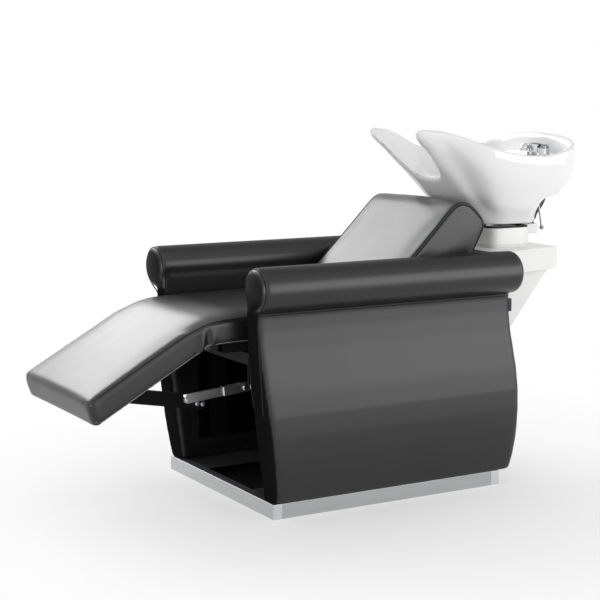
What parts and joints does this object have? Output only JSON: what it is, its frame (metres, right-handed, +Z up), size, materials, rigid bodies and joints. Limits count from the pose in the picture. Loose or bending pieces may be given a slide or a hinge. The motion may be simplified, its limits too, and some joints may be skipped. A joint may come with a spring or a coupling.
{
  "type": "hair washing bed",
  "caption": "Padded salon wash unit: armchair on a steel plinth with a folding leg rest and a tilting ceramic basin on a rear console.",
  "frame": {"origin": "middle of the footprint, on the floor", "axes": "+Z up, -Y towards the feet and the leg rest, +Y towards the basin, +X to the sitter's left"},
  "size_m": [0.681, 1.4735, 0.931],
  "materials": {
    "vinyl": "satin black upholstery vinyl with a fine grain",
    "board": "dark board",
    "plywood": "bare plywood",
    "stainless": "brushed",
    "black_steel": "satin black powder coat",
    "chrome": "polished",
    "zinc_steel": "bright zinc plated",
    "black_plastic": "satin",
    "white_panel": "gloss white",
    "white_plastic": "satin white",
    "ceramic": "high gloss glaze",
    "black_rubber": "matte",
    "braided_hose": "dark braid over a rubber hose"
  },
  "bodies": {
    "base": {"side_pad_left": "vinyl", "side_pad_right": "vinyl", "side_core_left": "board", "side_core_right": "board", "arm_roll_left": "vinyl", "arm_roll_right": "vinyl", "base_rail_front": "stainless", "base_rail_rear": "stainless", "base_rail_left": "stainless", "base_rail_right": "stainless", "base_board": "board", "side_plate_left": "stainless", "side_plate_right": "stainless", "seat_rail_left": "black_steel", "seat_rail_right": "black_steel", "seat_cross_front": "black_steel", "seat_cross_middle": "black_steel", "seat_cross_rear": "black_steel", "seat_cushion": "vinyl", "seat_board": "plywood", "knee_leaf_seat": "zinc_steel", "actuator_tube": "black_steel", "actuator_motor": "black_plastic", "backrest_cushion": "vinyl", "backrest_board": "plywood", "backrest_bracket_left": "black_steel", "backrest_bracket_right": "black_steel", "console_housing": "white_panel", "rear_access_panel": "white_panel", "console_tray": "white_panel", "column": "white_panel", "basin_gasket": "black_rubber", "tilt_plate": "zinc_steel", "tilt_pin": "zinc_steel", "bottle_trap": "white_plastic", "waste_hose": "black_plastic", "connection_block": "black_rubber", "supply_hose_hot": "braided_hose", "supply_hose_cold": "braided_hose"},
    "legrest": {"legrest_cushion": "vinyl", "legrest_board": "plywood", "legrest_lever": "black_steel", "lever_bolt_front": "chrome", "lever_bolt_rear": "chrome", "knee_leaf_legrest": "zinc_steel"},
    "drive_rod": {"actuator_rod": "chrome"},
    "push_link": {"push_link": "chrome", "link_pin_front": "chrome", "link_pin_rear": "zinc_steel"},
    "basin": {"basin": "ceramic", "basin_carrier": "zinc_steel", "drain_strainer": "chrome", "mixer_body": "chrome", "handset_dock": "chrome", "rim_bush": "chrome", "tilt_lever_stud": "chrome"},
    "tilt_lever": {"tilt_lever": "chrome"},
    "mixer_cap": {"mixer_cap": "chrome"},
    "mixer_lever": {"mixer_lever": "chrome"},
    "handset": {"spray_handset": "chrome"}
  },
  "joints": [
    {"name": "knee_fold", "type": "hinge", "parent": "base", "child": "legrest", "pos_m": [0, -0.40618, 0.421], "axis": [1, 0, 0], "range_deg": [0, 50]},
    {"name": "drive_slide", "type": "slide", "parent": "base", "child": "drive_rod", "axis": [0, 1, 0], "range_m": [0, 0.098]},
    {"name": "link_swing", "type": "hinge", "parent": "drive_rod", "child": "push_link", "pos_m": [0, -0.20848, 0.2725], "axis": [1, 0, 0], "range_deg": [-31, 0]},
    {"name": "basin_tilt", "type": "hinge", "parent": "base", "child": "basin", "pos_m": [0, 0.52182, 0.681], "axis": [1, 0, 0], "range_deg": [0, 12], "deforming": ["supply_hose_hot", "supply_hose_cold", "waste_hose"]},
    {"name": "tilt_release", "type": "hinge", "parent": "basin", "child": "tilt_lever", "pos_m": [0.114, 0.65182, 0.74], "axis": [1, 0, 0], "range_deg": [0, 20]},
    {"name": "mixer_turn", "type": "hinge", "parent": "basin", "child": "mixer_cap", "pos_m": [0.086, 0.68982, 0.8785], "axis": [0, 0, 1], "range_deg": [-45, 45]},
    {"name": "mixer_lift", "type": "hinge", "parent": "mixer_cap", "child": "mixer_lever", "pos_m": [0.086, 0.69332, 0.88024], "axis": [-1, 0, 0], "range_deg": [0, 25]},
    {"name": "handset_pull", "type": "slide", "parent": "basin", "child": "handset", "axis": [0, 0, 1], "range_m": [0, 0.05]}
  ],
  "couplings": [
    {"joint": "drive_slide", "follows": "knee_fold", "m_per_rad": 0.11222},
    {"joint": "link_swing", "follows": "knee_fold", "ratio": -0.615}
  ]
}
